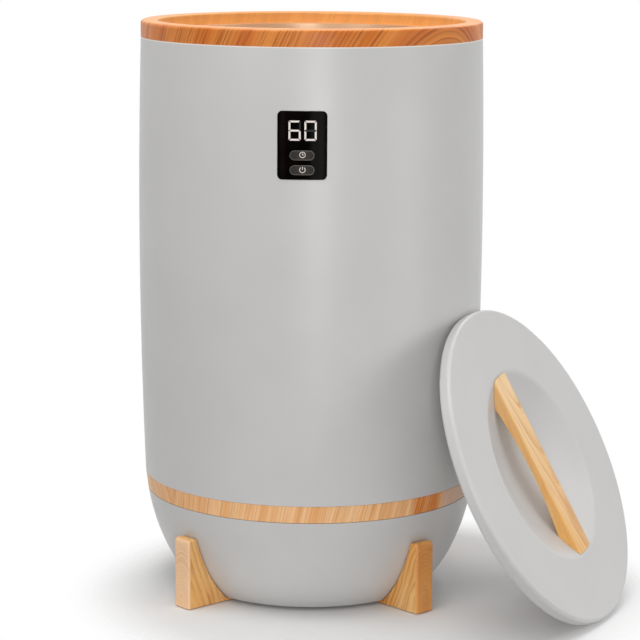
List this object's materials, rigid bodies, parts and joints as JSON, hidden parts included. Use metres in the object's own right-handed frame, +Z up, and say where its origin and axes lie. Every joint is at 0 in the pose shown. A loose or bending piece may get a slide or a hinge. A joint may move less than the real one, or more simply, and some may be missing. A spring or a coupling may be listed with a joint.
{
  "type": "towel warmer bucket",
  "caption": "Tall barrelled towel warmer bucket on wooden feet, with a wood-look rim and band, a black control panel with buttons, and its round lid leaning against it.",
  "frame": {"origin": "on the floor, on the axis of the bucket, below the gate pad in the middle of the bowl's underside", "axes": "+Z up along the bucket's axis; the control panel faces -Y; the cord gland faces +Y; the lid leans at the front right"},
  "size_m": [0.4395, 0.3762, 0.5061],
  "materials": {
    "shell_grey": "satin, fine texture",
    "liner_grey": "satin",
    "wood_ring": "oiled, orange grain",
    "wood_band": "oiled, light grain",
    "wood_feet": "oiled, light grain",
    "wood_handle": "oiled, light grain",
    "pad_rubber": "matte",
    "bucket_metal": "satin",
    "heater_foil": "bright foil",
    "heater_silicone": "matte",
    "felt": "needled felt",
    "seal_silicone": "matte",
    "inner_plastic": "matte",
    "panel_gloss": "high gloss",
    "button_dark": "satin",
    "switch_black": "matte",
    "plunger_plastic": "matte",
    "board_green": "satin",
    "relay_blue": "gloss",
    "core_steel": "satin",
    "capacitor_sleeve": "gloss",
    "sensor_epoxy": "satin",
    "cable_black": "satin",
    "gland_black": "matte",
    "screw_steel": "zinc plated"
  },
  "bodies": {
    "housing": {"base_bowl": "shell_grey", "base_plate": "inner_plastic", "board_carrier": "inner_plastic", "bottom_heater": "heater_silicone", "bottom_insulation": "felt", "bowl_screws": "screw_steel", "bucket_collar": "inner_plastic", "carrier_screws": "screw_steel", "control_board": "board_green", "control_board_screws": "screw_steel", "control_panel": "panel_gloss", "control_ribbon": "cable_black", "cord_gland": "gland_black", "display_module": "switch_black", "filter_capacitor": "capacitor_sleeve", "flange_seal": "seal_silicone", "foot_front_left": "wood_feet", "foot_front_right": "wood_feet", "foot_pad_front_left": "pad_rubber", "foot_pad_front_right": "pad_rubber", "foot_pad_rear_left": "pad_rubber", "foot_pad_rear_right": "pad_rubber", "foot_rear_left": "wood_feet", "foot_rear_right": "wood_feet", "foot_screws": "screw_steel", "gland_nut": "gland_black", "heater_leads": "cable_black", "heater_relay": "relay_blue", "inner_bucket": "bucket_metal", "outer_shell": "shell_grey", "plate_screws": "screw_steel", "power_board": "board_green", "power_board_screws": "screw_steel", "power_switch": "switch_black", "power_transformer": "core_steel", "side_heater": "heater_foil", "side_insulation": "felt", "temperature_sensor": "sensor_epoxy", "terminal_block": "switch_black", "thermal_fuse": "sensor_epoxy", "thermostat": "core_steel", "timer_switch": "switch_black", "top_ring": "wood_ring", "trim_band": "wood_band"},
    "lid": {"lid_shell": "shell_grey", "lid_handle": "wood_handle", "lid_liner": "liner_grey", "lid_insulation": "felt", "lid_seal": "seal_silicone", "handle_screws": "screw_steel"},
    "timer_key": {"timer_button": "button_dark", "timer_plunger": "plunger_plastic"},
    "power_key": {"power_button": "button_dark", "power_plunger": "plunger_plastic"}
  },
  "joints": [
    {"name": "lid_lift", "type": "slide", "parent": "housing", "child": "lid", "axis": [0.8174, -0.3629, 0.4473], "range_m": [0, 0.25]},
    {"name": "timer_press", "type": "slide", "parent": "housing", "child": "timer_key", "axis": [0, 1, 0], "range_m": [0, 0.001], "stiffness_N_per_m": 400, "springref_m": -0.001},
    {"name": "power_press", "type": "slide", "parent": "housing", "child": "power_key", "axis": [0, 1, 0], "range_m": [0, 0.001], "stiffness_N_per_m": 400, "springref_m": -0.001}
  ]
}
